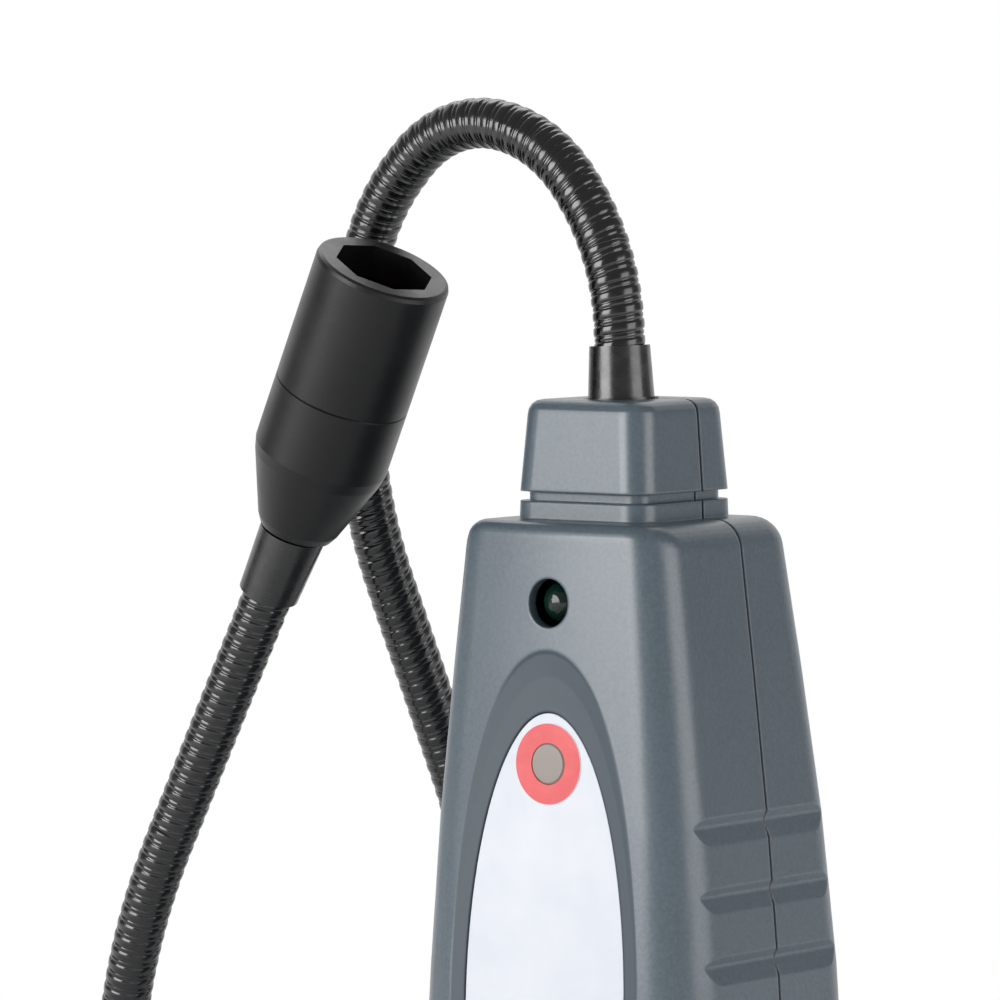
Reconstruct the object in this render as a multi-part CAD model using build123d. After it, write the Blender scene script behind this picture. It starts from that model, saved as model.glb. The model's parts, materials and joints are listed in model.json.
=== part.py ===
from build123d import *
from math import acos, ceil, cos, degrees, pi, sin, sqrt, tan
import os

# Handheld leak detector with a sensing head on a bendable neck, mm, +Z up, front faces -Y,
# origin on the neck's axis at the height of the base.

# Handle: height, half width, front, rear, front and rear corner radius
HANDLE = [
    (0.0, 33.0, -26.5, 27.0, 12.0, 9.0),
    (58.0, 34.8, -27.3, 28.5, 12.0, 9.0),
    (111.0, 32.6, -26.4, 28.0, 12.0, 8.5),
    (147.7, 29.5, -24.9, 26.0, 10.0, 8.0),
    (199.0, 23.5, -22.7, 21.4, 8.0, 7.5),
]
CROWN = 0.8  # rise of the front over its width
WALL = 2.2
FLOOR = 3.0
TOP = 199.0
SEAM_Y = 3.65
SHOULDER_R, BROW_R, TOP_BANDS = 5.0, 2.6, 8  # round of the shoulder, and of its front edge
FOOT_R, FOOT_BANDS = 4.0, 4
SEAM_GAP, SEAM_DEPTH = 0.6, 0.55  # shadow line between the two shells
BELTS = [32.0, 60.0, 88.0, 116.0, 144.0, 172.0]
RIB_Z = [144.5 - 12.6 * i for i in range(6)]
RIB_DEPTH, RIB_UP, RIB_DOWN = 0.8, 1.5, 3.8

NECK_X, NECK_Y, NECK_CORNER = 30.6, 29.9, 5.0  # neck block at its foot
NECK_DRAFT, NECK_RIM = 1.0, 2.8
NECK_FOOT, NECK_TOP = 204.1, 221.0
COLLAR_TOP = 202.3  # the flange below the groove
GROOVE = 1.75

LAMP_Z, LAMP_R, LAMP_TIP = 184.4, 4.5, -22.1
NOSE_BANDS = 8
DISH_Z, DISH_A, DISH_B = 105.0, 24.2, 70.6  # ellipse of the dish: centre height and half axes
DISH_LOW = 66.0
LABEL_Z, LABEL_A, LABEL_B = 110.0, 18.2, 54.2
LABEL_LOW = 76.0
LABEL_T = 0.35
FRONT_MID_Y, FRONT_MID_Z = -26.75, 98.8  # a point on the front's crown
DISH_SLOPE = 0.0393  # the front leans back going up
POCKET = 1.5  # depth of the label's pocket behind the crown
# The dish, from its floor out: depth, how much narrower and how much shorter than its edge
DISH_STEPS = [(0.95, 5.0, 9.8), (0.8, 2.9, 4.6), (0.35, 0.2, 0.4), (-0.6, -2.2, -1.6)]
LABEL_GAP = 0.25
RING_Z, RING_R, LENS_R = 154.9, 7.5, 3.8

WHEEL_Y, WHEEL_Z, WHEEL_R, WHEEL_W = -18.6, 97.0, 9.0, 4.0
TEETH, TOOTH = 24, 1.1
PIVOT_R = 1.5  # the wheel's shaft
BOARD_Y, BOARD_T = -8.5, 1.6
BOARD_W, BOARD_H, BOARD_Z = 39.0, 99.0, 133.5
BOARD_SPOTS = [(16.0, 120.0), (-16.0, 120.0), (14.5, 174.0), (-14.5, 174.0)]
SCREW_SPOTS = [(18.6, 189.5), (-18.6, 189.5), (26.0, 73.5), (-26.0, 73.5)]
SCREW_SEAT = 17.0
BUZZER_Z, BUZZER_R = 150.6, 11.0
VENT_Z, VENT_PITCH, VENTS = 141.4, 4.2, 5
CELL_R, CELL_L = 13.1, 50.0
CELL_X, CELL_Y, CELL_Z = 14.2, 9.5, 7.0
DOOR_W, DOOR_TOP = 47.0, 66.0
DOOR_AXIS = (25.4, 9.5)  # y, z
DOOR_GAP, BARREL_R = 0.35, 2.4
BULKHEAD_Z = 61.0  # wall above the cells

# Neck: corners of the bent run, each rounded in flat facets, and the hinge points between links
ROD_R = 4.8
ROUTE = [
    (0.0, 0.0, 205.0), (-1.5, 0.0, 247.5), (-18.0, 0.0, 270.0), (-42.5, 1.0, 273.5),
    (-63.5, 2.0, 252.5), (-66.5, 2.0, 205.0), (-64.5, 37.5, 131.0), (-70.0, 46.5, 102.0),
    (-88.0, 40.0, 76.0), (-112.0, 12.0, 66.0), (-121.5, -6.0, 86.0), (-106.8, -15.2, 118.4),
    (-62.5, -17.4, 200.5),
]
FIRST_HINGE = 33.0  # along the first leg
LAST_HINGE = 34.5  # before the neck's end in the head
LINK_R, LINK_GAP = 6.35, 0.15
BORE_R = ROD_R + 0.02
FERRULE_R, SLEEVE_LOW, SLEEVE_TOP = 6.95, 14.05, 25.8
FACET_TURN = 16.0  # largest turn between two facets, degrees

# Sensing head: rim centre, and the point its axis runs to
RIM = (-39.9, -21.1, 245.1)
TAIL = (-65.4, -16.9, 194.7)
HEAD_R, HEAD_L, HEAD_STRAIGHT, TAIL_R, TAIL_BORE_R = 12.9, 56.4, 40.7, 8.0, 5.85
CAP_BORE_R, SPIGOT_R = 11.4, 11.35
CAP_L, CAP_BREAK = 26.0, 0.2  # the cap, and the broken edges where it meets the housing
MOUTH_R, MOUTH_SIDES, MOUTH_TURN = 9.5, 8, 12.0
MOUTH_DEPTH = 6.0
SENSOR_END, SOCKET_END = -16.98, -24.0


def rounded(z, a, front, rear, rf, rr, inset=0.0, brow=0.0):
    """Cross-section of the handle at one height, with a crowned front."""
    a, front, rear = a - inset, front + brow, rear - inset
    rf, rr = max(rf - inset, 1.5), max(rr - inset, 1.5)
    k = rf * (1 - sqrt(0.5))
    m = rr * (1 - sqrt(0.5))
    side = front + CROWN
    with BuildSketch(Plane.XY.offset(z)) as sk:
        with BuildLine():
            ThreePointArc((-a + rf, side), (0, front), (a - rf, side))
            ThreePointArc((a - rf, side), (a - k, side + k), (a, side + rf))
            Line((a, side + rf), (a, rear - rr))
            ThreePointArc((a, rear - rr), (a - m, rear - m), (a - rr, rear))
            Line((a - rr, rear), (-a + rr, rear))
            ThreePointArc((-a + rr, rear), (-a + m, rear - m), (-a, rear - rr))
            Line((-a, rear - rr), (-a, side + rf))
            ThreePointArc((-a, side + rf), (-a + k, side + k), (-a + rf, side))
        make_face()
    return sk.sketch


def at_height(z):
    """The handle's section figures at a height, on a smooth curve through the given ones."""
    rows = HANDLE
    for i, (low, high) in enumerate(zip(rows, rows[1:])):
        if z <= high[0]:
            before, after = rows[max(i - 1, 0)], rows[min(i + 2, len(rows) - 1)]
            span = high[0] - low[0]
            t = (z - low[0]) / span
            return tuple(hermite(t, span, before, low, high, after, k) for k in range(6))
    return rows[-1]


def hermite(t, span, before, low, high, after, k):
    """Figure k between two rows, t of the way up, its slopes taken from the rows outside."""
    m0 = (high[k] - before[k]) / (high[0] - before[0]) * span
    m1 = (after[k] - low[k]) / (after[0] - low[0]) * span
    t2, t3 = t * t, t * t * t
    return ((2 * t3 - 3 * t2 + 1) * low[k] + (t3 - 2 * t2 + t) * m0
            + (3 * t2 - 2 * t3) * high[k] + (t3 - t2) * m1)


def handle_loft(inset=0.0, low=0.0, high=TOP, top_r=0.0, foot_r=0.0):
    """The handle between two heights, its rims rounded in a few narrow bands."""
    rows = [(low + foot_r * (1 - c), foot_r * (1 - s)) for s, c in quarter(FOOT_BANDS, foot_r)]
    rows += [(z, 0.0) for z in BELTS if low + foot_r + 1 < z < high - top_r - 1]
    rows += [(high - top_r * (1 - c), top_r * (1 - s)) for s, c in quarter(TOP_BANDS, top_r)][::-1]
    return loft([rounded(z, *at_height(z)[1:], inset=inset + cut,
                         brow=inset + foot_cut(z, cut) + brow_cut(z - high, top_r))
                 for z, cut in rows], ruled=True)


def foot_cut(z, cut):
    return cut if z < BELTS[0] else 0.0


def brow_cut(below, top_r):
    """How far the front leans in this far below the top, on a tighter round than the sides."""
    r = min(top_r, BROW_R)
    rise = below + r
    return r - sqrt(max(r * r - rise * rise, 0.0)) if rise > 0 else 0.0


def quarter(count, r):
    """Sine and cosine-like steps of a quarter round, from the flat to the wall."""
    if r == 0.0:
        return [(1.0, 1.0)]
    turns = [pi / 2 * i / count for i in range(count + 1)]
    return [(sin(t), cos(t)) for t in turns]


def tapered(z0, z1, x0, y0, x1, y1, r):
    with BuildSketch(Plane.XY.offset(z0)) as foot:
        RectangleRounded(x0, y0, r)
    with BuildSketch(Plane.XY.offset(z1)) as head:
        RectangleRounded(x1, y1, r)
    return loft([foot.sketch, head.sketch], ruled=True)


def block(z0, z1, x, y, draft, corner, rim):
    """A drafted block with rounded corners, its top rim rounded in narrow bands."""
    rows = [(z0, 0.0), (z1 - rim, draft)]
    for i in range(1, 5):
        turn = pi / 2 * i / 4
        rows.append((z1 - rim + rim * sin(turn), draft + rim * (1 - cos(turn))))
    sections = []
    for z, cut in rows:
        with BuildSketch(Plane.XY.offset(z)) as sk:
            RectangleRounded(x - 2 * cut, y - 2 * cut, corner - (cut - draft if cut > draft else 0))
        sections.append(sk.sketch)
    return loft(sections, ruled=True)


def outer_body():
    body = handle_loft(top_r=SHOULDER_R, foot_r=FOOT_R)
    body += tapered(TOP - 2, COLLAR_TOP, NECK_X + 0.3, NECK_Y + 0.3, NECK_X, NECK_Y, NECK_CORNER)
    x, y = NECK_X - 2 * GROOVE, NECK_Y - 2 * GROOVE
    body += tapered(COLLAR_TOP - 0.3, NECK_FOOT + 0.3, x, y, x, y, NECK_CORNER - GROOVE)
    return body + block(NECK_FOOT, NECK_TOP, NECK_X, NECK_Y, NECK_DRAFT, NECK_CORNER, NECK_RIM)


def box(x0, x1, y0, y1, z0, z1):
    return Pos((x0 + x1) / 2, (y0 + y1) / 2, (z0 + z1) / 2) * Box(x1 - x0, y1 - y0, z1 - z0)


def rod(a, b, r, r_end=None):
    """A round bar from a to b, tapering if a second radius is given."""
    a, b = Vector(*a), Vector(*b)
    place = Plane(origin=a, z_dir=b - a)
    if r_end is None:
        bar = Cylinder(r, (b - a).length, align=(Align.CENTER, Align.CENTER, Align.MIN))
    else:
        bar = Cone(r, r_end, (b - a).length, align=(Align.CENTER, Align.CENTER, Align.MIN))
    return place * bar


def along_y(x, z, y0, y1, r, r_end=None):
    return rod((x, y0, z), (x, y1, z), r, r_end)


def ribs():
    """Shallow grooves across both sides, which run out in the rounded corners."""
    cuts = []
    for z in RIB_Z:
        high, low = z + RIB_UP, z - RIB_DOWN
        top, deep, foot = at_height(high)[1], at_height(z)[1] - RIB_DEPTH, at_height(low)[1]
        for s in (1, -1):
            with BuildSketch(Plane.XZ.offset(-45)) as sk:
                with BuildLine():
                    Polyline((s * (top + 0.02), high), (s * deep, z), (s * deep, z - 0.6),
                             (s * (foot + 0.02), low), (s * (foot + 4), low),
                             (s * (foot + 4), high), close=True)
                make_face()
            cuts.append(extrude(sk.sketch, 90))
    return cuts


def arch(middle, a, b, low, corner):
    """Half ellipse over straight sides and a rounded foot, in a plane whose y is height."""
    k = corner * 0.2929
    with BuildSketch() as sk:
        with BuildLine():
            EllipticalCenterArc((0, middle), a, b, start_angle=0, arc_size=180)
            Line((-a, middle), (-a, low + corner))
            ThreePointArc((-a, low + corner), (-a + k, low + k), (-a + corner, low))
            Line((-a + corner, low), (a - corner, low))
            ThreePointArc((a - corner, low), (a - k, low + k), (a, low + corner))
            Line((a, low + corner), (a, middle))
        make_face()
    return sk.sketch


def on_front(sketch, depth):
    """A sketch drawn in x and height, laid this far behind the front's leaning crown."""
    place = Plane(origin=(0, FRONT_MID_Y + depth, FRONT_MID_Z), x_dir=(1, 0, 0),
                  z_dir=(0, -1, DISH_SLOPE))
    return place * (Pos(0, -FRONT_MID_Z) * sketch)


def raised(sketch, depth, height):
    return extrude(on_front(sketch, depth), height)


def seat_of_dish():
    """The scooped dish: steep at its edge, near flat where it meets the label's pocket."""
    rings = []
    for depth, narrower, shorter in DISH_STEPS:
        ring = arch(DISH_Z, DISH_A - narrower, DISH_B - shorter, DISH_LOW + narrower, 11.0)
        rings.append(on_front(ring, depth))
    gap = LABEL_GAP
    pocket = arch(LABEL_Z, LABEL_A + gap, LABEL_B + gap, LABEL_LOW - gap, 6.0 + gap)
    return loft(rings, ruled=True) + raised(pocket, POCKET, 2.0)


def wheel_slot(clear=0.0):
    half = WHEEL_W / 2 + 0.4 + clear
    return box(-half, half, -30, -15, WHEEL_Z - 8.4 - clear, WHEEL_Z + 8.4 + clear)


def door_zone(grow=0.0):
    half = DOOR_W / 2 + grow
    return box(-half, half, 15, 40, DOOR_AXIS[1], DOOR_TOP + grow)


def door_barrel(grow=0.0):
    half = DOOR_W / 2 + grow
    return rod((-half, *DOOR_AXIS), (half, *DOOR_AXIS), BARREL_R + grow)


def shadow_line():
    """The fine groove where the two shells meet, round the handle and over the neck block."""
    half, deep = SEAM_GAP / 2, SEAM_DEPTH
    core = handle_loft(deep, deep, TOP - deep, SHOULDER_R - deep, FOOT_R - deep)
    seam = box(-60, 60, SEAM_Y - half, SEAM_Y + half, 0, TOP) - core
    wide = NECK_X / 2 - NECK_DRAFT - 1.3
    collar = box(-60, 60, SEAM_Y - half, SEAM_Y + half, TOP, NECK_TOP + 1)
    return seam, collar - box(-wide, wide, -20, 20, TOP - 1, NECK_TOP - 0.4)


def shells():
    outer = outer_body()
    for cut in [*ribs(), *shadow_line()]:
        outer -= cut
    inner = handle_loft(WALL, FLOOR, TOP - WALL, 3.0, 2.0)
    body = outer - inner - rod_along(ROUTE[0], ROUTE[1], -12, 25, 7.0)
    front = body & box(-60, 60, -60, SEAM_Y, -5, 230)
    rear = body & box(-60, 60, SEAM_Y, 60, -5, 230)
    return front, rear, inner


def front_shell(front, inner):
    pads = [along_y(x, z, -30, SEAM_Y, 3.2) for x, z in SCREW_SPOTS]
    pads += [along_y(x, z, -30, BOARD_Y, 2.8) for x, z in BOARD_SPOTS]
    for pad in pads:
        front += pad & inner
    backing = raised(arch(DISH_Z, DISH_A + 2, DISH_B + 2, DISH_LOW - 2, 12.0), POCKET, -2.4)
    front += backing & inner
    front -= seat_of_dish()
    front -= wheel_slot()
    front -= along_y(0, RING_Z, -30, -15, LENS_R + 0.05)
    front -= along_y(0, LAMP_Z, -30, -15, LAMP_R)
    for x, z in SCREW_SPOTS:
        front -= along_y(x, z, -8.0, SEAM_Y, 1.45)
    for x, z in BOARD_SPOTS:
        front -= along_y(x, z, -15.5, BOARD_Y, 1.0)
    return front


def rear_shell(rear, inner):
    for x, z in SCREW_SPOTS:
        rear += along_y(x, z, SEAM_Y, 35, 3.4) & inner
    rear += box(-40, 40, 4.0, 40, BULKHEAD_Z, BULKHEAD_Z + 2.0) & inner
    for x, z in SCREW_SPOTS:
        rear -= along_y(x, z, SEAM_Y, 40, 1.7)
        rear -= along_y(x, z, SCREW_SEAT, 40, 3.0)
    rear -= door_zone(DOOR_GAP)
    rear -= door_barrel(DOOR_GAP)
    for i in range(VENTS):
        z = VENT_Z + VENT_PITCH * i
        rear -= box(-9, 9, 20, 35, z, z + 1.8)
    return rear


def battery_door():
    shell = handle_loft() - handle_loft(WALL, FLOOR, TOP - WALL)
    door = (shell & door_zone()) + door_barrel()
    door += box(-3.5, 3.5, 22.6, 27.0, DOOR_TOP - 5, DOOR_TOP)
    return door


def front_label():
    plate = raised(arch(LABEL_Z, LABEL_A, LABEL_B, LABEL_LOW, 6.0), POCKET, LABEL_T)
    ring = dish_disc(RING_Z, RING_R, POCKET, LABEL_T + 0.15)
    label = plate + ring
    label -= dish_disc(RING_Z, LENS_R + 0.05, 3.0, 8.0)
    return label - wheel_slot()


def dish_disc(z, r, depth, height):
    return raised(Pos(0, z) * Circle(r), depth, height)


def leak_lens():
    lens = dish_disc(RING_Z, LENS_R, 3.6, 2.75)
    return chamfer([e for e in lens.edges() if e.center().Y < -23.0], 0.35)


def lamp(x, z, tip, r):
    """A round light with a domed nose, a collar, and two legs to the board."""
    lens = along_y(x, z, tip + r, BOARD_Y - 5, r)
    nose = None
    for i in range(NOSE_BANDS):
        s, t = pi / 2 * i / NOSE_BANDS, pi / 2 * (i + 1) / NOSE_BANDS
        y0, y1 = tip + r - r * sin(s), tip + r - r * sin(t)
        band = along_y(x, z, y0, y1, r * cos(s), max(r * cos(t), 0.01 * r))
        nose = band if nose is None else nose + band
    collar = along_y(x, z, BOARD_Y - 6, BOARD_Y - 5, r + 0.4)
    legs = [along_y(x + s, z, BOARD_Y - 5.2, BOARD_Y, 0.3) for s in (-1.27, 1.27)]
    return lens + nose + collar + legs[0] + legs[1]


def circuit_board():
    with BuildSketch(Plane.XZ.offset(-BOARD_Y - BOARD_T)) as sk:
        with Locations((0, BOARD_Z)):
            RectangleRounded(BOARD_W, BOARD_H, 2.0)
        with Locations(*BOARD_SPOTS):
            Circle(1.3, mode=Mode.SUBTRACT)
    return extrude(sk.sketch, BOARD_T)


def board_screws():
    out = []
    for x, z in BOARD_SPOTS:
        shaft = along_y(x, z, -14.5, BOARD_Y + BOARD_T, 0.98)
        head = along_y(x, z, BOARD_Y + BOARD_T, BOARD_Y + BOARD_T + 1.5, 2.1)
        out.append(shaft + head)
    return Compound(children=out)


def housing_screws():
    out = []
    for x, z in SCREW_SPOTS:
        shaft = along_y(x, z, -7.0, SCREW_SEAT, 1.43)
        head = along_y(x, z, SCREW_SEAT, SCREW_SEAT + 2.0, 2.8)
        slot_a = box(x - 1.6, x + 1.6, SCREW_SEAT + 1.0, 30, z - 0.35, z + 0.35)
        slot_b = box(x - 0.35, x + 0.35, SCREW_SEAT + 1.0, 30, z - 1.6, z + 1.6)
        out.append(shaft + head - slot_a - slot_b)
    return Compound(children=out)


def sensitivity_wheel():
    h = WHEEL_W / 2
    wheel = rod((-h, WHEEL_Y, WHEEL_Z), (h, WHEEL_Y, WHEEL_Z), WHEEL_R)
    for i in range(TEETH):
        turn = 2 * pi * i / TEETH
        y = WHEEL_Y + (WHEEL_R + 0.25) * cos(turn)
        z = WHEEL_Z + (WHEEL_R + 0.25) * sin(turn)
        wheel -= Pos(0, y, z) * Rot(degrees(turn) + 45, 0, 0) * Box(2 * h + 2, TOOTH, TOOTH)
    return wheel + rod((h - 0.1, WHEEL_Y, WHEEL_Z), (h + 7.0, WHEEL_Y, WHEEL_Z), PIVOT_R)


def wheel_pot():
    x0 = WHEEL_W / 2 + 0.7
    pot = box(x0, x0 + 8.0, WHEEL_Y - 3.6, WHEEL_Y + 5.0, WHEEL_Z - 5.0, WHEEL_Z + 5.0)
    pot += box(x0 + 1.0, x0 + 7.0, WHEEL_Y + 4.9, BOARD_Y, WHEEL_Z - 4.0, WHEEL_Z + 4.0)
    return pot - rod((0, WHEEL_Y, WHEEL_Z), (WHEEL_W / 2 + 7.4, WHEEL_Y, WHEEL_Z), PIVOT_R + 0.05)


def buzzer():
    y = BOARD_Y + BOARD_T
    can = along_y(0, BUZZER_Z, y + 12.0, y + 21.0, BUZZER_R)
    stem = along_y(0, BUZZER_Z, y, y + 12.0, 4.0)
    return can + stem - along_y(0, BUZZER_Z, y + 20.0, y + 22.0, 1.6)


def cell(x):
    can = rod((x, CELL_Y, CELL_Z), (x, CELL_Y, CELL_Z + CELL_L - 1.5), CELL_R)
    return can + rod((x, CELL_Y, CELL_Z + CELL_L - 2), (x, CELL_Y, CELL_Z + CELL_L), 3.2)


def contact_plate():
    z = FLOOR
    plate = box(-CELL_X - 7, CELL_X + 7, CELL_Y - 5, CELL_Y + 5, z, z + 0.6)
    for x in (-CELL_X, CELL_X):
        plate += rod((x, CELL_Y, z + 0.3), (x, CELL_Y, CELL_Z), 6.0, 3.0)
    return plate


def contact_spring():
    out = []
    for x in (-CELL_X, CELL_X):
        leaf = box(x - 5, x + 5, CELL_Y - 5, CELL_Y + 5, BULKHEAD_Z - 0.6, BULKHEAD_Z)
        out.append(leaf + rod((x, CELL_Y, BULKHEAD_Z - 0.3), (x, CELL_Y, CELL_Z + CELL_L), 4.0, 2.0))
    return Compound(children=out)


def neck_ferrule():
    collar = rod_along(ROUTE[0], ROUTE[1], -6.0, SLEEVE_LOW - 0.05, FERRULE_R)
    seat = TOP - WALL - 0.05
    flange = rod((0, 0, seat - 2.2), (0, 0, seat), 9.0) + rod((0, 0, seat), (0, 0, TOP + 1), 6.5)
    return collar + flange - rod_along(ROUTE[0], ROUTE[1], -20, 40, BORE_R)


def rod_along(a, b, start, end, r, r_end=None):
    """A bar on the line from a to b, between two distances from a."""
    a, b = Vector(*a), Vector(*b)
    d = (b - a).normalized()
    return rod(tuple(a + d * start), tuple(a + d * end), r, r_end)


def neck_sleeve():
    taper = rod_along(ROUTE[0], ROUTE[1], SLEEVE_LOW, SLEEVE_TOP, 6.3, 5.65)
    lip = rod_along(ROUTE[0], ROUTE[1], SLEEVE_LOW, SLEEVE_LOW + 2.15, 6.9)
    return taper + lip - rod_along(ROUTE[0], ROUTE[1], 5, 40, BORE_R)


def facet_run():
    """The neck's run in straight facets: points, and for each hinge its point and facet."""
    points = [Vector(*ROUTE[0])]
    legs = [Vector(*q) - Vector(*p) for p, q in zip(ROUTE, ROUTE[1:])]
    first = Vector(*ROUTE[0]) + legs[0].normalized() * FIRST_HINGE
    hinges = [(first, legs[0].normalized())]
    points.append(first)
    for i in range(1, len(ROUTE) - 1):
        corner, back, ahead = Vector(*ROUTE[i]), legs[i - 1], legs[i]
        before = (corner - points[-1]).length if i == 1 else back.length / 2
        reach = min(before, ahead.length / 2)
        turn = acos(max(-1.0, min(1.0, back.normalized().dot(ahead.normalized()))))
        count = max(1, ceil(degrees(turn) / FACET_TURN))
        axis = back.cross(ahead).normalized()
        radius = reach / tan(turn / 2)
        start = corner - back.normalized() * reach
        center = start + axis.cross(back.normalized()) * radius
        step = turn / count
        for k in range(count):
            arm = (start - center) * (1 / cos(step / 2))
            points.append(center + arm.rotate(Axis((0, 0, 0), axis), degrees(step * (k + 0.5))))
        middle = corner + ahead * 0.5
        if i < len(ROUTE) - 2:
            hinges.append((middle, ahead.normalized()))
            points.append(middle)
    last = Vector(*ROUTE[-1]) - legs[-1].normalized() * LAST_HINGE
    hinges.append((last, legs[-1].normalized()))
    points += [last, Vector(*ROUTE[-1])]
    return points, hinges


def hinge_axes(hinges):
    """Each hinge turns in the plane of the bends beside it; plus opens the bend out."""
    legs = [(Vector(*q) - Vector(*p)).normalized() for p, q in zip(ROUTE, ROUTE[1:])]
    bends = [a.cross(b) for a, b in zip(legs, legs[1:])]
    axes = [bends[0]]
    for i in range(1, len(bends)):
        axes.append(bends[i - 1] + bends[i])
    axes.append(Vector(0, -1, 0))
    out = []
    for (point, along), bend in zip(hinges, axes):
        side = bend - along * bend.dot(along)
        out.append(side.normalized() * -1)
    return out


def drum(point, axis, r):
    p, a = Vector(*point), Vector(*axis).normalized()
    return rod(tuple(p - a * 9), tuple(p + a * 9), r)


def link(points, start_axis, end_axis):
    """One link of the neck: rounded at its start, hollowed round the next link at its end."""
    bar = None
    for i, (p, q) in enumerate(zip(points, points[1:])):
        d = (q - p).normalized()
        low = p - d * 12 if i or start_axis is not None else p
        high = q + d * 12 if i < len(points) - 2 or end_axis is not None else q
        piece = rod(tuple(low), tuple(high), ROD_R)
        if i:
            piece = cut_off(piece, p, ((points[i] - points[i - 1]).normalized() + d) * -1)
        if i < len(points) - 2:
            piece = cut_off(piece, q, (points[i + 2] - q).normalized() + d)
        bar = piece if bar is None else bar + piece
    if start_axis is not None:
        d = (points[1] - points[0]).normalized()
        tail = rod(tuple(points[0] - d * 14), tuple(points[0]), 9.0)
        bar -= tail - drum(points[0], start_axis, LINK_R)
    if end_axis is not None:
        d = (points[-1] - points[-2]).normalized()
        bar = cut_off(bar, points[-1], d)
        bar -= drum(points[-1], end_axis, LINK_R + LINK_GAP)
    return bar


def cut_off(bar, point, normal):
    """Drop what lies past a point along a direction."""
    far = Plane(origin=point, z_dir=normal) * Pos(0, 0, 30) * Box(60, 60, 60)
    return bar - far


def neck_links():
    points, hinges = facet_run()
    axes = hinge_axes(hinges)
    stops = [0] + [find(points, h[0]) for h in hinges] + [len(points) - 1]
    out = []
    for i, (s, e) in enumerate(zip(stops, stops[1:])):
        first = axes[i - 1] if i else None
        last = axes[i] if i < len(axes) else None
        out.append(link(points[s:e + 1], first, last))
    return out


def find(points, target):
    return min(range(len(points)), key=lambda i: (points[i] - target).length)


def head_plane():
    axis = (Vector(*RIM) - Vector(*TAIL)).normalized()
    across = Vector(0.788, 0.616, 0.0)
    across = across - axis * across.dot(axis)
    return Plane(origin=Vector(*RIM), x_dir=across, z_dir=axis)


def turned(profile):
    """A body of revolution about the head's axis from (radius, height below the rim) points."""
    with BuildSketch(Plane.XZ) as sk:
        with BuildLine():
            Polyline(*profile, close=True)
        make_face()
    return head_plane() * revolve(sk.sketch, Axis.Z)


def mouth_bar(height):
    with BuildSketch(Plane.XY) as sk:
        RegularPolygon(MOUTH_R, MOUTH_SIDES, rotation=MOUTH_TURN)
    return extrude(sk.sketch, height)


def sensor_cap():
    r = HEAD_R
    cap = turned([(0, -MOUTH_DEPTH), (0, 0.2), (r - 0.9, 0.2), (r - 0.25, -0.1), (r, -0.8),
                  (r, -CAP_L + CAP_BREAK), (r - CAP_BREAK, -CAP_L), (CAP_BORE_R, -CAP_L),
                  (CAP_BORE_R, -MOUTH_DEPTH)])
    mouth = head_plane() * Pos(0, 0, -MOUTH_DEPTH - 1) * mouth_bar(MOUTH_DEPTH + 2)
    return cap - mouth


def sensor_housing():
    r, low = HEAD_R, -HEAD_L
    return turned([
        (TAIL_BORE_R, -45), (TAIL_BORE_R, low), (TAIL_R - 0.9, low + 0.6), (TAIL_R, low + 2.2),
        (r - 0.5, -HEAD_STRAIGHT - 1.0), (r, -HEAD_STRAIGHT + 1.2), (r, -CAP_L - CAP_BREAK),
        (r - CAP_BREAK, -CAP_L), (SPIGOT_R, -CAP_L), (SPIGOT_R, -21.0), (9.6, -21.0), (9.6, -40.0),
    ])


def tail_start(back):
    """A point on the neck's last leg, this far past its end in the head."""
    a, b = Vector(*ROUTE[-2]), Vector(*ROUTE[-1])
    return tuple(b + (b - a).normalized() * back)


def sensor_socket():
    return turned([(0, -17.0), (10.9, -17.0), (10.9, -20.9), (9.4, -20.9), (9.4, SOCKET_END),
                   (0, SOCKET_END)])


def gas_sensor():
    can = turned([(0, -7.0), (3.4, -7.0), (4.4, -7.4), (4.75, -8.2), (4.75, -15.6), (5.5, -15.6),
                  (5.5, SENSOR_END), (0, SENSOR_END)])
    vent = turned([(0, -6.0), (2.2, -6.0), (2.2, -7.6), (0, -7.6)])
    return can - vent


def tail_sleeve():
    a, b = Vector(*ROUTE[-2]), Vector(*ROUTE[-1])
    d = (b - a).normalized()
    top = b - d * 3.9
    taper = rod(tuple(top), tuple(top - d * 22.4), 6.5, 5.45)
    inside = turned([(0, -70), (20, -70), (20, -HEAD_L - 0.02), (0, -HEAD_L - 0.02)])
    return (taper & inside) - rod(tail_start(20), tail_start(-60), BORE_R)


def main():
    front, rear, inner = shells()
    parts = {
        "front_shell": front_shell(front, inner),
        "rear_shell": rear_shell(rear, inner),
        "front_label": front_label(),
        "leak_lens": leak_lens(),
        "power_led": lamp(0, LAMP_Z, LAMP_TIP, LAMP_R - 0.6),
        "leak_led": lamp(0, RING_Z, -19.6, 2.5),
        "circuit_board": circuit_board(),
        "board_screws": board_screws(),
        "housing_screws": housing_screws(),
        "sensitivity_wheel": sensitivity_wheel(),
        "wheel_pot": wheel_pot(),
        "buzzer": buzzer(),
        "cell_1": cell(-CELL_X),
        "cell_2": cell(CELL_X),
        "contact_plate": contact_plate(),
        "contact_spring": contact_spring(),
        "battery_door": battery_door(),
        "neck_ferrule": neck_ferrule(),
        "neck_sleeve": neck_sleeve(),
        "tail_sleeve": tail_sleeve(),
        "sensor_housing": sensor_housing(),
        "sensor_cap": sensor_cap(),
        "sensor_socket": sensor_socket(),
        "gas_sensor": gas_sensor(),
    }
    for i, piece in enumerate(neck_links()):
        parts[f"neck_segment_{i}"] = piece
    os.makedirs("parts", exist_ok=True)
    for name, piece in parts.items():
        piece.label = name
        export_step(piece, f"parts/{name}.step")


main()
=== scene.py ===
import json
from math import acos, cos, pi, radians, sin, tan

import bpy
import bmesh
from mathutils import Matrix, Vector


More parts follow.
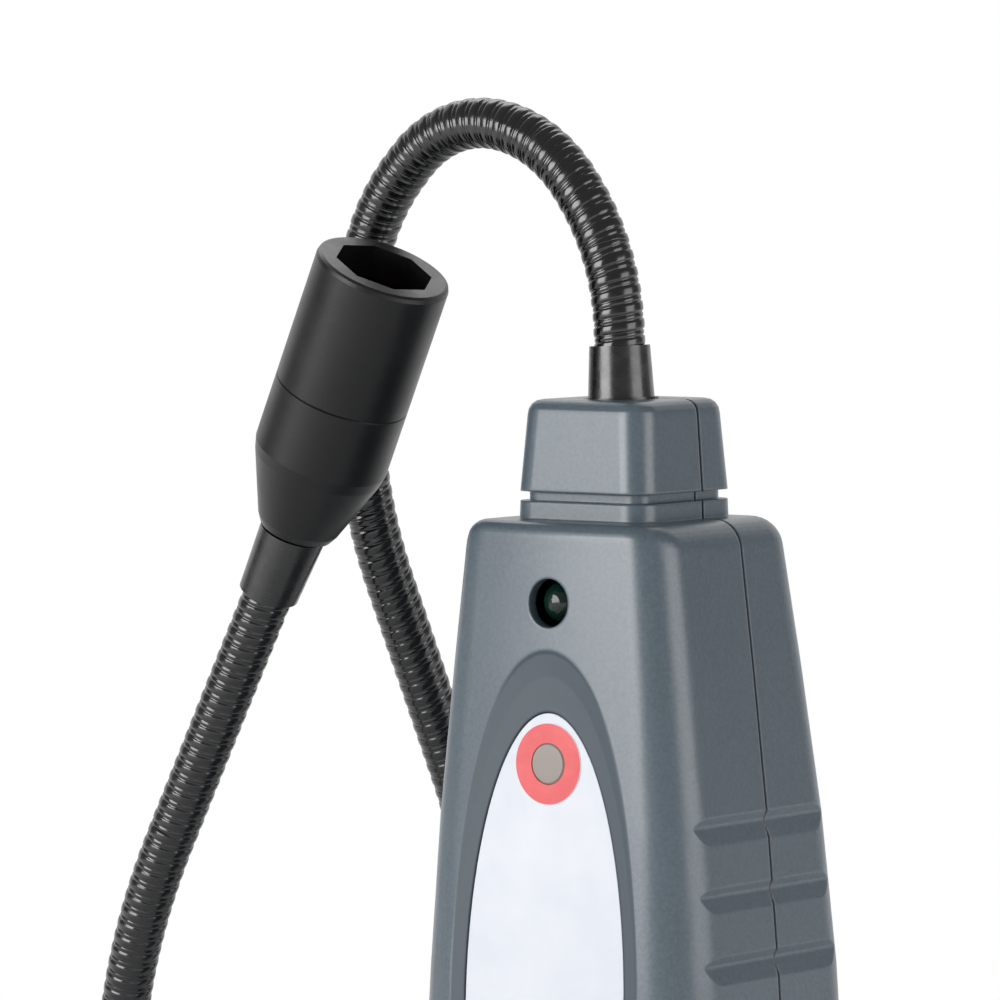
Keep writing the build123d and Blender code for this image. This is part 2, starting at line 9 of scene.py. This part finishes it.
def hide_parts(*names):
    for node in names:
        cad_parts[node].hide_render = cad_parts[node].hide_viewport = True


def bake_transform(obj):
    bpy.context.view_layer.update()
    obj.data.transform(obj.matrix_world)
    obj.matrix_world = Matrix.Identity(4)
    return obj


# Leak detector: dresses the frame for its picture. Metres, +Z up, the label faces -Y.

MM = 0.001
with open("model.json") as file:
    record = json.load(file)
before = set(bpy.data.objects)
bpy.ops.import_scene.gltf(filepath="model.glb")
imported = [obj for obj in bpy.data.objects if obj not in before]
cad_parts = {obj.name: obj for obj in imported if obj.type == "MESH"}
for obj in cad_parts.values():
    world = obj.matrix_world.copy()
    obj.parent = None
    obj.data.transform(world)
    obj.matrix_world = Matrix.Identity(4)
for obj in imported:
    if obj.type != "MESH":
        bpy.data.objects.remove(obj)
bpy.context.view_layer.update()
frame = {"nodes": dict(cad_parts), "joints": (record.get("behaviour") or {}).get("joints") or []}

# Camera: where it stands, the way it looks and its slight lean
AZIMUTH, ELEVATION, LEAN = radians(38.0), radians(3.4), radians(0.3)
EYE = Vector((722.3, -961.9, 273.7)) * MM
LENS, SENSOR = 234.0, 36.0
CLIP_NEAR, CLIP_FAR = 0.05, 20.0

# Lamps: the point they face; then each one's azimuth from the front toward the right in degrees,
# its distance and height, the panel's width and height, and its power in watts
AIM = Vector((-30.0, 0.0, 180.0)) * MM
LAMPS = {
    "key_front": (-20.0, 1.50, 0.50, 1.04, 0.80, 15.8),
    "side_right": (96.0, 1.35, 0.42, 0.95, 0.76, 5.6),
    "top_back": (-145.0, 0.86, 1.20, 0.80, 0.60, 2.6),
}
SKY_STRENGTH = 0.27

# Stage: half the floor's width, where it turns white away from the part, and the wall behind
FLOOR_HALF, FLOOR_NEAR, FLOOR_FAR = 3.0, 0.22, 0.55
WALL_AWAY, WALL_HALF, WALL_HEIGHT = 2.6, 4.0, 4.0

# The neck's run: corners of its bends in mm, the same as the solids follow
ROUTE = [Vector(p) * MM for p in (
    (0.0, 0.0, 205.0), (-1.5, 0.0, 247.5), (-18.0, 0.0, 270.0), (-42.5, 1.0, 273.5),
    (-63.5, 2.0, 252.5), (-66.5, 2.0, 205.0), (-64.5, 37.5, 131.0), (-70.0, 46.5, 102.0),
    (-88.0, 40.0, 76.0), (-112.0, 12.0, 66.0), (-121.5, -6.0, 86.0), (-106.8, -15.2, 118.4),
    (-62.5, -17.4, 200.5),
)]
FIRST_SHARE = 1.2  # the first bend may start this far down its leg, as a divisor of its length
NECK_R = 4.8 * MM
PITCH = 3.0 * MM
RINGS, SIDES = 14, 36  # rings of points to a turn of the winding, and points to a ring
SLACK = 0.001 * MM  # lengths this close count as the same
# The winding's two wires: the broad one's share of a turn, then for each its depth below the
# tube's radius, its crown, its fall to the slit, and the half share that stays level
BROAD = 0.64
BROAD_WIRE = (0.0, 0.10 * MM, 0.34 * MM, 0.78)
NARROW_WIRE = (0.16 * MM, 0.08 * MM, 0.20 * MM, 0.62)

RING_Z, RING_R, RING_EDGE = 154.9 * MM, 7.5 * MM, 0.15 * MM
# Where the shells meet: the shade in their gap, painted as a dark line across the ribs too
SEAM_Y, SEAM_SHADE_HALF, SEAM_SHADE_EDGE = 3.65 * MM, 0.24 * MM, 0.1 * MM
# The dish's outline: middle height, half width, rise above the middle, foot, and its fullness
DISH_Z, DISH_HALF, DISH_UP, DISH_LOW, DISH_BEND = 105.0 * MM, 21.5 * MM, 70.9 * MM, 66.0 * MM, 2.2
DISH_BACK, DISH_EDGE, DISH_BLUR = -20.0 * MM, 1.0 * MM, 0.015

# Noise scales per metre: broad blotches, scuffs and the speckle of the case
BLOTCH, SCUFF, SPECKLE = 38.0, 120.0, 1300.0
CASE_BEVEL = 0.7 * MM  # radius by which the case's edges look rounded
CASE_ROUGH, DISH_ROUGH = 0.34, 0.55
WHITE = (1.0, 1.0, 1.0, 1.0)


class Mat:
    """A node material, with short calls for the nodes used here."""

    def __init__(self, name):
        self.m = bpy.data.materials.new(name)
        self.m.use_nodes = True
        self.t = self.m.node_tree
        self.b = self.t.nodes["Principled BSDF"]

    def node(self, kind, **values):
        n = self.t.nodes.new(kind)
        for key, value in values.items():
            setattr(n, key, value)
        return n

    def link(self, a, b):
        self.t.links.new(a, b)

    def feed(self, value, socket):
        """Link a socket to this one, or set it to a number or a colour."""
        if isinstance(value, tuple):
            socket.default_value = (*value, 1.0)
        elif isinstance(value, (int, float)):
            socket.default_value = value
        else:
            self.link(value, socket)

    def place(self):
        return self.node("ShaderNodeTexCoord").outputs["Object"]

    def axes(self):
        """The object's own X, Y and Z at the point that is shaded."""
        split = self.node("ShaderNodeSeparateXYZ")
        self.link(self.place(), split.inputs[0])
        return split.outputs["X"], split.outputs["Y"], split.outputs["Z"]

    def noise(self, scale, detail=4.0, rough=0.55):
        n = self.node("ShaderNodeTexNoise")
        n.inputs["Scale"].default_value = scale
        n.inputs["Detail"].default_value = detail
        n.inputs["Roughness"].default_value = rough
        self.link(self.place(), n.inputs["Vector"])
        return n.outputs["Fac"]

    def span(self, value, low, high, a, b):
        n = self.node("ShaderNodeMapRange")
        for i, v in enumerate((low, high, a, b), start=1):
            n.inputs[i].default_value = v
        self.link(value, n.inputs[0])
        return n.outputs[0]

    def mix(self, factor, a, b):
        n = self.node("ShaderNodeMix", data_type="RGBA")
        self.feed(a, n.inputs[6])
        self.feed(b, n.inputs[7])
        self.link(factor, n.inputs[0])
        return n.outputs[2]

    def math(self, kind, a, b=None):
        n = self.node("ShaderNodeMath", operation=kind)
        self.feed(a, n.inputs[0])
        if b is not None:
            self.feed(b, n.inputs[1])
        return n.outputs[0]

    def uneven(self, low, high, scale, detail=4.0, spread=0.2):
        """A value that wanders between two bounds; a smaller spread makes the change sharper."""
        return self.span(self.noise(scale, detail), 0.5 - spread, 0.5 + spread, low, high)

    def mottled(self, a, b, scale, detail=4.0, spread=0.15):
        """Two colours in blotches."""
        return self.mix(self.uneven(0.0, 1.0, scale, detail, spread), a, b)

    def colour(self, value):
        self.feed(value, self.b.inputs["Base Color"])

    def rough(self, value):
        self.feed(value, self.b.inputs["Roughness"])

    def specular(self, level):
        self.b.inputs["Specular IOR Level"].default_value = level

    def bump(self, height, depth, strength=1.0):
        n = self.node("ShaderNodeBump")
        n.inputs["Strength"].default_value = strength
        n.inputs["Distance"].default_value = depth
        self.link(height, n.inputs["Height"])
        self.link(n.outputs["Normal"], self.b.inputs["Normal"])
        return n


def srgb(r, g, b):
    """Picture values 0-255 to linear."""
    def one(v):
        v /= 255.0
        return v / 12.92 if v <= 0.04045 else ((v + 0.055) / 1.055) ** 2.4
    return one(r), one(g), one(b)


def moulded(name, base, light, roughness, grain=2600.0, specular=0.45):
    """Moulded plastic: a fine spark-eroded grain, faint blotches and rubbed patches."""
    m = Mat(name)
    m.colour(m.mottled(base, light, BLOTCH, 3.0))
    m.rough(m.uneven(roughness - 0.04, roughness + 0.05, SCUFF, 3.0))
    m.bump(m.noise(grain, 2.0, 0.6), 0.06 * MM, 0.35)
    m.specular(specular)
    return m.m


def in_dish(m):
    """1 within the dish's outline on the front, 0 outside it."""
    x, y, z = m.axes()
    across = m.math("DIVIDE", m.math("ABSOLUTE", x), DISH_HALF)
    rise = m.math("SUBTRACT", z, DISH_Z)
    along = m.math("DIVIDE", m.math("MAXIMUM", rise, 0.0), DISH_UP)
    away = m.math("ADD", m.math("POWER", across, DISH_BEND), m.math("POWER", along, DISH_BEND))
    inside = m.span(away, 1.0 - DISH_BLUR, 1.0 + DISH_BLUR, 1.0, 0.0)
    front = m.span(y, DISH_BACK - DISH_EDGE, DISH_BACK, 1.0, 0.0)
    above = m.span(z, DISH_LOW, DISH_LOW + DISH_EDGE, 0.0, 1.0)
    return m.math("MULTIPLY", m.math("MULTIPLY", inside, front), above)


def case_finish(name, dish=False):
    """The case's satin grey: mottled, with soft edges, painted shade along the seam, and rougher in
    the dish, which painted shade darkens.
    """
    m = Mat(name)
    drift = m.mottled(srgb(75, 89, 98), srgb(79, 93, 103), BLOTCH, 3.0)
    speckle = m.span(m.noise(SPECKLE, 2.0, 0.7), 0.35, 0.65, 0.0, 1.0)
    _, y, _ = m.axes()
    # painted shade: a dark line where the shells meet, standing in for the shade in their gap
    off = m.math("ABSOLUTE", m.math("SUBTRACT", y, SEAM_Y))
    joint = m.span(off, SEAM_SHADE_HALF, SEAM_SHADE_HALF + SEAM_SHADE_EDGE, 1.0, 0.0)
    body = m.mix(joint, m.mix(speckle, drift, srgb(88, 102, 112)), srgb(42, 46, 50))
    if dish:
        mask = in_dish(m)
        # painted shade: the dish is coloured darker than the face around it; its rougher finish is
        # its own
        m.colour(m.mix(mask, body, srgb(46, 64, 76)))
        m.rough(m.span(mask, 0.0, 1.0, CASE_ROUGH, DISH_ROUGH))
    else:
        m.colour(body)
        m.rough(m.uneven(CASE_ROUGH - 0.02, CASE_ROUGH + 0.03, SCUFF, 3.0))
    bump = m.bump(m.noise(1700.0, 2.0, 0.6), 0.04 * MM, 0.12)
    edge = m.node("ShaderNodeBevel", samples=8)
    edge.inputs["Radius"].default_value = CASE_BEVEL
    m.link(edge.outputs["Normal"], bump.inputs["Normal"])
    m.specular(1.0)
    return m.m


def glossy_black(name, roughness, specular):
    """The black of the neck and its sleeves."""
    m = Mat(name)
    m.colour(m.mottled(srgb(6, 6, 7), srgb(11, 11, 12), 90.0, spread=0.1))
    m.rough(m.uneven(roughness, roughness + 0.1, 400.0, spread=0.15))
    m.bump(m.noise(1500.0, 2.0), 0.02 * MM, 0.3)
    m.specular(specular)
    return m.m


def metal(name, base, roughness):
    m = Mat(name)
    m.colour(m.mottled(base, tuple(c * 0.82 for c in base), 200.0))
    m.b.inputs["Metallic"].default_value = 1.0
    m.rough(m.uneven(roughness - 0.05, roughness + 0.08, 900.0))
    m.bump(m.noise(2500.0, 2.0), 0.01 * MM, 0.3)
    return m.m


def label_print():
    """White print with the alarm ring."""
    m = Mat("label_print")
    x, _, z = m.axes()
    rise = m.math("SUBTRACT", z, RING_Z)
    away = m.math("SQRT", m.math("ADD", m.math("MULTIPLY", x, x), m.math("MULTIPLY", rise, rise)))
    ring = m.span(away, RING_R - RING_EDGE, RING_R, 1.0, 0.0)
    paper = m.mottled(srgb(238, 241, 247), srgb(229, 233, 241), 60.0)
    red = m.mottled(srgb(243, 106, 108), srgb(234, 92, 96), 160.0)
    m.colour(m.mix(ring, paper, red))
    m.rough(m.uneven(0.36, 0.46, 300.0))
    m.bump(m.noise(1800.0, 2.0), 0.01 * MM, 0.25)
    return m.m


def board_green():
    m = Mat("board_green")
    m.colour(m.mottled(srgb(22, 74, 44), srgb(30, 92, 54), 260.0, spread=0.05))
    m.rough(0.4)
    return m.m


def tinted(name, base, light, roughness=0.16):
    """A tinted lens: clear coat over a deep colour, with a painted sheen that lightens it toward
    its rim.
    """
    m = Mat(name)
    # painted sheen: the colour lightens where the surface turns away from the view
    facing = m.node("ShaderNodeLayerWeight")
    facing.inputs["Blend"].default_value = 0.35
    m.colour(m.mix(facing.outputs["Facing"], base, light))
    m.rough(roughness)
    m.b.inputs["Coat Weight"].default_value = 0.2
    m.b.inputs["Coat Roughness"].default_value = 0.08
    m.bump(m.noise(700.0), 0.01 * MM, 0.2)
    return m.m


CASE = case_finish("case_grey")
FRONT = case_finish("front_grey", dish=True)
HEAD = moulded("head_black", srgb(7, 7, 9), srgb(11, 11, 13), 0.36, 1600.0, specular=0.5)
WHEEL = moulded("wheel_black", srgb(22, 22, 24), srgb(30, 30, 33), 0.6)
SLEEVE = glossy_black("sleeve_black", 0.22, 1.0)
NECK = glossy_black("neck_black", 0.15, 0.9)
STEEL = metal("plated_steel", (0.56, 0.56, 0.58), 0.3)
CAN = metal("sensor_can", (0.30, 0.12, 0.09), 0.38)
LABEL = label_print()
BOARD = board_green()
PARTS = moulded("black_parts", srgb(26, 26, 28), srgb(34, 34, 36), 0.5)
# Each lens's second colour is the painted sheen at its rim
LEAK = tinted("leak_lens", srgb(150, 140, 132), srgb(178, 168, 158))
GREEN = tinted("power_green", srgb(4, 26, 18), srgb(16, 54, 40))
RED = tinted("leak_red", srgb(90, 14, 14), srgb(140, 40, 36))
CELL = moulded("cell_wrap", srgb(70, 62, 50), srgb(78, 70, 58), 0.35)

# Every node not named here is a link of the neck
FINISH = {
    "front_shell": FRONT, "rear_shell": CASE, "battery_door": CASE, "front_label": LABEL,
    "leak_lens": LEAK, "power_led": GREEN, "leak_led": RED, "circuit_board": BOARD,
    "board_screws": STEEL, "housing_screws": STEEL, "sensitivity_wheel": WHEEL,
    "wheel_pot": PARTS, "buzzer": PARTS, "cell_1": CELL, "cell_2": CELL,
    "contact_plate": STEEL, "contact_spring": STEEL, "neck_ferrule": STEEL,
    "neck_sleeve": SLEEVE, "tail_sleeve": SLEEVE, "sensor_housing": HEAD, "sensor_cap": HEAD,
    "sensor_socket": WHEEL, "gas_sensor": CAN,
}
for name, node in frame["nodes"].items():
    node.data.materials.clear()
    node.data.materials.append(FINISH.get(name, NECK))


def placed(name, data, material):
    """An object of this mesh in the scene, in one material."""
    obj = bpy.data.objects.new(name, data)
    bpy.context.scene.collection.objects.link(obj)
    data.materials.append(material)
    return obj


def centre_line(step):
    """Points along the neck's run, about a step apart, its corners rounded as arcs."""
    legs = [q - p for p, q in zip(ROUTE, ROUTE[1:])]
    stretches, here = [], ROUTE[0]
    for i in range(1, len(ROUTE) - 1):
        back, ahead = legs[i - 1], legs[i]
        reach = min(back.length / (FIRST_SHARE if i == 1 else 2.0), ahead.length / 2)
        start = ROUTE[i] - back.normalized() * reach
        turn = acos(max(-1.0, min(1.0, back.normalized().dot(ahead.normalized()))))
        axis = back.cross(ahead).normalized()
        radius = reach / tan(turn / 2)
        stretches.append(("line", here, start))
        stretches.append(("arc", start, start + axis.cross(back.normalized()) * radius, axis, turn))
        here = ROUTE[i] + ahead.normalized() * reach
    stretches.append(("line", here, ROUTE[-1]))
    points = [ROUTE[0]]
    for kind, start, *rest in stretches:
        if kind == "line":
            end = rest[0]
            length = (end - start).length
            if length < SLACK:
                continue
            count = max(1, round(length / step))
            points += [start.lerp(end, k / count) for k in range(1, count + 1)]
        else:
            centre, axis, turn = rest
            arm = start - centre
            count = max(1, round(turn * arm.length / step))
            for k in range(1, count + 1):
                points.append(centre + Matrix.Rotation(turn * k / count, 3, axis) @ arm)
    return points


def wire(t, low, crown, fall, level):
    """Radius across one wire, t from -1 to 1: a slight crown and a fall to the slits beside it."""
    return NECK_R - low - crown * t * t - fall * max(0.0, abs(t) - level) / (1 - level)


def ridge(phase):
    """Radius of the wound tube over one turn: a broad wire, then a narrow one."""
    p = phase % 1.0
    if p < BROAD:
        return wire((p - BROAD / 2) / (BROAD / 2), *BROAD_WIRE)
    return wire((p - (1 + BROAD) / 2) / ((1 - BROAD) / 2), *NARROW_WIRE)


def wound_tube(name, points, ups, rights, dists, low, high):
    """The tube's stretch from one distance to another, closed at both ends."""
    rows = [i for i, d in enumerate(dists) if low - SLACK <= d <= high + SLACK]
    mesh = bmesh.new()
    rings = []
    for i in rows:
        ring = []
        for k in range(SIDES):
            turn = 2 * pi * k / SIDES
            r = ridge(dists[i] / PITCH - turn / (2 * pi))
            outward = rights[i] * cos(turn) + ups[i] * sin(turn)
            ring.append(mesh.verts.new(points[i] + outward * r))
        rings.append(ring)
    for a, b in zip(rings, rings[1:]):
        for k in range(SIDES):
            n = (k + 1) % SIDES
            mesh.faces.new((a[k], a[n], b[n], b[k]))
    mesh.faces.new(list(reversed(rings[0])))
    mesh.faces.new(rings[-1])
    bmesh.ops.recalc_face_normals(mesh, faces=mesh.faces)
    data = bpy.data.meshes.new(name)
    mesh.to_mesh(data)
    mesh.free()
    for poly in data.polygons:
        poly.use_smooth = len(poly.vertices) == 4
    return placed(name, data, NECK)


def nearest(points, target):
    """Index of the point nearest to a place."""
    return min(range(len(points)), key=lambda i: (points[i] - target).length)


def nearest_row(dists, d):
    """Index of the row nearest to a distance along the neck."""
    return min(range(len(dists)), key=lambda i: abs(dists[i] - d))


def build_neck():
    """The wound tube, one stretch to each hinge, bent smoothly about it."""
    points = centre_line(PITCH / RINGS)
    dists = [0.0]
    for p, q in zip(points, points[1:]):
        dists.append(dists[-1] + (q - p).length)
    tangents = [(points[min(i + 1, len(points) - 1)] - points[max(i - 1, 0)]).normalized()
                for i in range(len(points))]
    side = tangents[0].cross(Vector((0, 1, 0))).normalized()
    rights, ups = [], []
    for t in tangents:
        side = (side - t * side.dot(t)).normalized()
        rights.append(side)
        ups.append(t.cross(side))
    hinges = [j for j in frame["joints"] if j["name"].startswith("neck_bend")]
    marks = [dists[nearest(points, Vector(j["pos_m"]))] for j in hinges]
    cuts = [0.0] + [(a + b) / 2 for a, b in zip(marks, marks[1:])] + [dists[-1]]
    for i, joint in enumerate(hinges):
        low = nearest_row(dists, cuts[i])
        high = nearest_row(dists, cuts[i + 1])
        tube = wound_tube(f"neck_tube_{i + 1}", points, ups, rights, dists,
                          dists[low], dists[high])
        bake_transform(tube)
        segments = [f"neck_segment_{i + 1}"] + (["neck_segment_0"] if i == 0 else [])
        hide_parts(*segments)


def rectangle(name, corners, material):
    data = bpy.data.meshes.new(name)
    data.from_pydata([tuple(corner) for corner in corners], [], [(0, 1, 2, 3)])
    data.update()
    return placed(name, data, material)


def glow_white(m, share=None):
    """Plain white to the camera and to mirrored or refracted rays, by a share if one is given."""
    paths = m.node("ShaderNodeLightPath")
    seen = m.math("MAXIMUM", paths.outputs["Is Camera Ray"],
                  m.math("MAXIMUM", paths.outputs["Is Glossy Ray"],
                         paths.outputs["Is Transmission Ray"]))
    if share is not None:
        seen = m.math("MULTIPLY", share, seen)
    white = m.node("ShaderNodeEmission")
    white.inputs["Color"].default_value = WHITE
    white.inputs["Strength"].default_value = 1.0
    mixed = m.node("ShaderNodeMixShader")
    m.link(seen, mixed.inputs[0])
    m.link(m.b.outputs[0], mixed.inputs[1])
    m.link(white.outputs[0], mixed.inputs[2])
    m.link(mixed.outputs[0], m.t.nodes["Material Output"].inputs["Surface"])


def wall_mat():
    """White to the camera and to reflections, softer to the light that bounces off it."""
    m = Mat("backdrop")
    m.colour(srgb(225, 226, 228))
    m.rough(0.7)
    glow_white(m)
    return m.m


def floor_mat():
    """A pale floor that keeps the object's shadow and turns plain white away from it."""
    m = Mat("floor_pale")
    m.colour(m.mottled(srgb(236, 237, 239), srgb(242, 243, 244), 6.0, spread=0.2))
    m.rough(0.6)
    length = m.node("ShaderNodeVectorMath", operation="LENGTH")
    m.link(m.place(), length.inputs[0])
    glow_white(m, m.span(length.outputs["Value"], FLOOR_NEAR, FLOOR_FAR, 0.0, 1.0))
    return m.m


def set_stage():
    floor = rectangle("floor", [(-FLOOR_HALF, -FLOOR_HALF, 0), (FLOOR_HALF, -FLOOR_HALF, 0),
                                (FLOOR_HALF, FLOOR_HALF, 0), (-FLOOR_HALF, FLOOR_HALF, 0)],
                      floor_mat())
    away = Vector((-sin(AZIMUTH), cos(AZIMUTH), 0.0))
    across = Vector((cos(AZIMUTH), sin(AZIMUTH), 0.0)) * WALL_HALF
    foot, up = away * WALL_AWAY, Vector((0, 0, WALL_HEIGHT))
    wall = rectangle("backdrop_wall", [foot - across, foot + across, foot + across + up,
                                       foot - across + up], wall_mat())


def soft_box(name, azimuth, away, z, width, height, power):
    """A panel lamp that faces the part."""
    data = bpy.data.lights.new(name, "AREA")
    data.shape, data.size, data.size_y = "RECTANGLE", width, height
    data.energy = power
    lamp = bpy.data.objects.new(name, data)
    turn = radians(azimuth)
    lamp.location = AIM + Vector((away * sin(turn), -away * cos(turn), z - AIM.z))
    lamp.rotation_euler = (AIM - lamp.location).to_track_quat("-Z", "Y").to_euler()
    bpy.context.scene.collection.objects.link(lamp)


def light_it():
    """The lamps, and a sky that is soft to the part and white to the camera."""
    for name, values in LAMPS.items():
        soft_box(name, *values)
    world = bpy.data.worlds.new("room")
    bpy.context.scene.world = world
    world.use_nodes = True
    t = world.node_tree
    sky = t.nodes["Background"]
    sky.inputs["Color"].default_value = WHITE
    sky.inputs["Strength"].default_value = SKY_STRENGTH
    seen = t.nodes.new("ShaderNodeBackground")
    seen.inputs["Color"].default_value = WHITE
    seen.inputs["Strength"].default_value = 1.0
    paths = t.nodes.new("ShaderNodeLightPath")
    mixed = t.nodes.new("ShaderNodeMixShader")
    t.links.new(paths.outputs["Is Camera Ray"], mixed.inputs[0])
    t.links.new(sky.outputs[0], mixed.inputs[1])
    t.links.new(seen.outputs[0], mixed.inputs[2])
    t.links.new(mixed.outputs[0], t.nodes["World Output"].inputs["Surface"])


def set_camera():
    data = bpy.data.cameras.new("camera")
    data.lens, data.sensor_width = LENS, SENSOR
    data.clip_start, data.clip_end = CLIP_NEAR, CLIP_FAR
    cam = bpy.data.objects.new("camera", data)
    bpy.context.scene.collection.objects.link(cam)
    right = Vector((cos(AZIMUTH), sin(AZIMUTH), 0.0))
    ahead = Vector((-sin(AZIMUTH) * cos(ELEVATION), cos(AZIMUTH) * cos(ELEVATION),
                    -sin(ELEVATION)))
    up = right.cross(ahead)
    right, up = right * cos(LEAN) - up * sin(LEAN), right * sin(LEAN) + up * cos(LEAN)
    turn = Matrix((right, up, -ahead)).transposed()
    cam.matrix_world = Matrix.Translation(EYE) @ turn.to_4x4()
    bpy.context.scene.camera = cam


build_neck()
set_stage()
light_it()
set_camera()
bpy.context.scene.view_settings.view_transform = "Standard"
